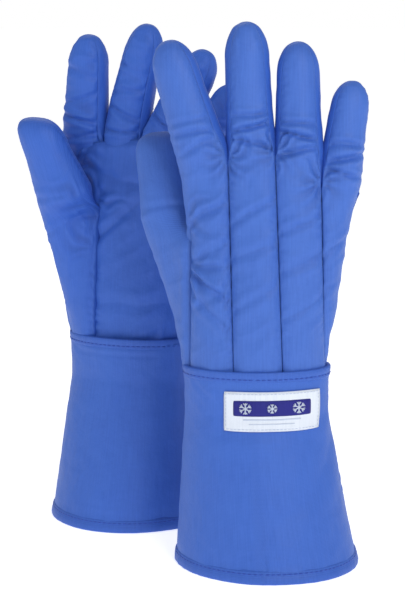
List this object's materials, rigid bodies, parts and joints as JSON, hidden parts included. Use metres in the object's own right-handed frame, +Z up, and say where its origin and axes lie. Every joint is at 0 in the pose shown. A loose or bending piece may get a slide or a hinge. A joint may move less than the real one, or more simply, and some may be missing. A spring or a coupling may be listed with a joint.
{
  "type": "cryogenic gloves",
  "caption": "Pair of mid-arm padded cryogenic gloves standing on open flared cuffs, quilted back of hand, bending fingers and wrists, hollow to the fingertips.",
  "frame": {"origin": "on the floor, in the middle of the pair's plan", "axes": "+Z up along the fingers; +X to the right-hand glove's little finger; the right-hand glove's palm faces +Y and the left-hand glove's palm faces -Y"},
  "size_m": [0.2522, 0.2574, 0.3796],
  "materials": {
    "cuff_shell": "water-resistant woven nylon",
    "quilted_liner": "brushed knit over batting",
    "trim": "folded and stitched woven nylon",
    "label": "woven label",
    "label_bar": "woven label",
    "palm_shell": "water-resistant woven nylon",
    "back_shell": "water-resistant woven nylon"
  },
  "bodies": {
    "right_cuff": {"right_cuff_shell": "cuff_shell", "right_cuff_quilted_liner": "quilted_liner", "right_wrist_welt": "trim", "right_hem_binding": "trim", "right_label_patch": "label", "right_label_bar": "label_bar"},
    "right_hand": {"right_thumb_base_panel": "palm_shell", "right_back_strip_index": "back_shell", "right_back_strip_middle": "back_shell", "right_back_strip_ring": "back_shell", "right_back_strip_little": "back_shell", "right_palm_panel": "palm_shell", "right_hand_back_quilted_liner": "quilted_liner", "right_palm_quilted_liner": "quilted_liner", "right_thumb_base_quilted_liner": "quilted_liner"},
    "right_thumb": {"right_thumb_back_panel": "back_shell", "right_thumb_front_panel": "palm_shell", "right_thumb_quilted_liner": "quilted_liner"},
    "right_index": {"right_index_back_panel": "back_shell", "right_index_front_panel": "palm_shell", "right_index_quilted_liner": "quilted_liner"},
    "right_middle": {"right_middle_back_panel": "back_shell", "right_middle_front_panel": "palm_shell", "right_middle_quilted_liner": "quilted_liner"},
    "right_ring": {"right_ring_back_panel": "back_shell", "right_ring_front_panel": "palm_shell", "right_ring_quilted_liner": "quilted_liner"},
    "right_little": {"right_little_back_panel": "back_shell", "right_little_front_panel": "palm_shell", "right_little_quilted_liner": "quilted_liner"},
    "left_cuff": {"left_cuff_shell": "cuff_shell", "left_cuff_quilted_liner": "quilted_liner", "left_wrist_welt": "trim", "left_hem_binding": "trim", "left_label_patch": "label", "left_label_bar": "label_bar"},
    "left_hand": {"left_thumb_base_panel": "palm_shell", "left_back_strip_index": "back_shell", "left_back_strip_middle": "back_shell", "left_back_strip_ring": "back_shell", "left_back_strip_little": "back_shell", "left_palm_panel": "palm_shell", "left_hand_back_quilted_liner": "quilted_liner", "left_palm_quilted_liner": "quilted_liner", "left_thumb_base_quilted_liner": "quilted_liner"},
    "left_thumb": {"left_thumb_back_panel": "back_shell", "left_thumb_front_panel": "palm_shell", "left_thumb_quilted_liner": "quilted_liner"},
    "left_index": {"left_index_back_panel": "back_shell", "left_index_front_panel": "palm_shell", "left_index_quilted_liner": "quilted_liner"},
    "left_middle": {"left_middle_back_panel": "back_shell", "left_middle_front_panel": "palm_shell", "left_middle_quilted_liner": "quilted_liner"},
    "left_ring": {"left_ring_back_panel": "back_shell", "left_ring_front_panel": "palm_shell", "left_ring_quilted_liner": "quilted_liner"},
    "left_little": {"left_little_back_panel": "back_shell", "left_little_front_panel": "palm_shell", "left_little_quilted_liner": "quilted_liner"}
  },
  "joints": [
    {"name": "gloves_apart", "type": "slide", "parent": "right_cuff", "child": "left_cuff", "axis": [-1, 0, 0], "range_m": [0, 0.2]},
    {"name": "right_wrist_bend", "type": "hinge", "parent": "right_cuff", "child": "right_hand", "pos_m": [0.05118, -0.06247, 0.15], "axis": [-1, 0, 0], "range_deg": [-15, 12], "stiffness_Nm_per_rad": 1.5},
    {"name": "right_thumb_bend", "type": "hinge", "parent": "right_hand", "child": "right_thumb", "pos_m": [-0.00882, -0.03247, 0.244], "axis": [-0.9848, 0, -0.1736], "range_deg": [-5, 40], "stiffness_Nm_per_rad": 0.15},
    {"name": "right_index_bend", "type": "hinge", "parent": "right_hand", "child": "right_index", "pos_m": [0.00868, -0.06247, 0.303], "axis": [-0.9537, 0, -0.3007], "range_deg": [-10, 60], "stiffness_Nm_per_rad": 0.15},
    {"name": "right_middle_bend", "type": "hinge", "parent": "right_hand", "child": "right_middle", "pos_m": [0.04658, -0.06247, 0.308], "axis": [-0.9976, 0, -0.0698], "range_deg": [-10, 60], "stiffness_Nm_per_rad": 0.15},
    {"name": "right_ring_bend", "type": "hinge", "parent": "right_hand", "child": "right_ring", "pos_m": [0.08018, -0.06247, 0.301], "axis": [-0.9986, 0, -0.0523], "range_deg": [-10, 60], "stiffness_Nm_per_rad": 0.15},
    {"name": "right_little_bend", "type": "hinge", "parent": "right_hand", "child": "right_little", "pos_m": [0.11058, -0.06247, 0.287], "axis": [-0.9962, 0, 0.0872], "range_deg": [-10, 60], "stiffness_Nm_per_rad": 0.15},
    {"name": "left_wrist_bend", "type": "hinge", "parent": "left_cuff", "child": "left_hand", "pos_m": [-0.04482, 0.06253, 0.15], "axis": [0.9397, -0.342, 0], "range_deg": [-15, 12], "stiffness_Nm_per_rad": 1.5},
    {"name": "left_thumb_bend", "type": "hinge", "parent": "left_hand", "child": "left_thumb", "pos_m": [-0.09536, 0.04794, 0.25], "axis": [0.8986, -0.3271, 0.2924], "range_deg": [-5, 40], "stiffness_Nm_per_rad": 0.15},
    {"name": "left_index_bend", "type": "hinge", "parent": "left_hand", "child": "left_index", "pos_m": [-0.08053, 0.07553, 0.303], "axis": [0.9374, -0.3412, -0.0698], "range_deg": [-10, 60], "stiffness_Nm_per_rad": 0.15},
    {"name": "left_middle_bend", "type": "hinge", "parent": "left_hand", "child": "left_middle", "pos_m": [-0.04623, 0.06304, 0.308], "axis": [0.9192, -0.3345, -0.2079], "range_deg": [-10, 60], "stiffness_Nm_per_rad": 0.15},
    {"name": "left_ring_bend", "type": "hinge", "parent": "left_hand", "child": "left_ring", "pos_m": [-0.01522, 0.05176, 0.301], "axis": [0.8517, -0.31, -0.4226], "range_deg": [-10, 60], "stiffness_Nm_per_rad": 0.15},
    {"name": "left_little_bend", "type": "hinge", "parent": "left_hand", "child": "left_little", "pos_m": [0.01156, 0.04201, 0.287], "axis": [0.8138, -0.2962, -0.5], "range_deg": [-10, 60], "stiffness_Nm_per_rad": 0.15}
  ]
}
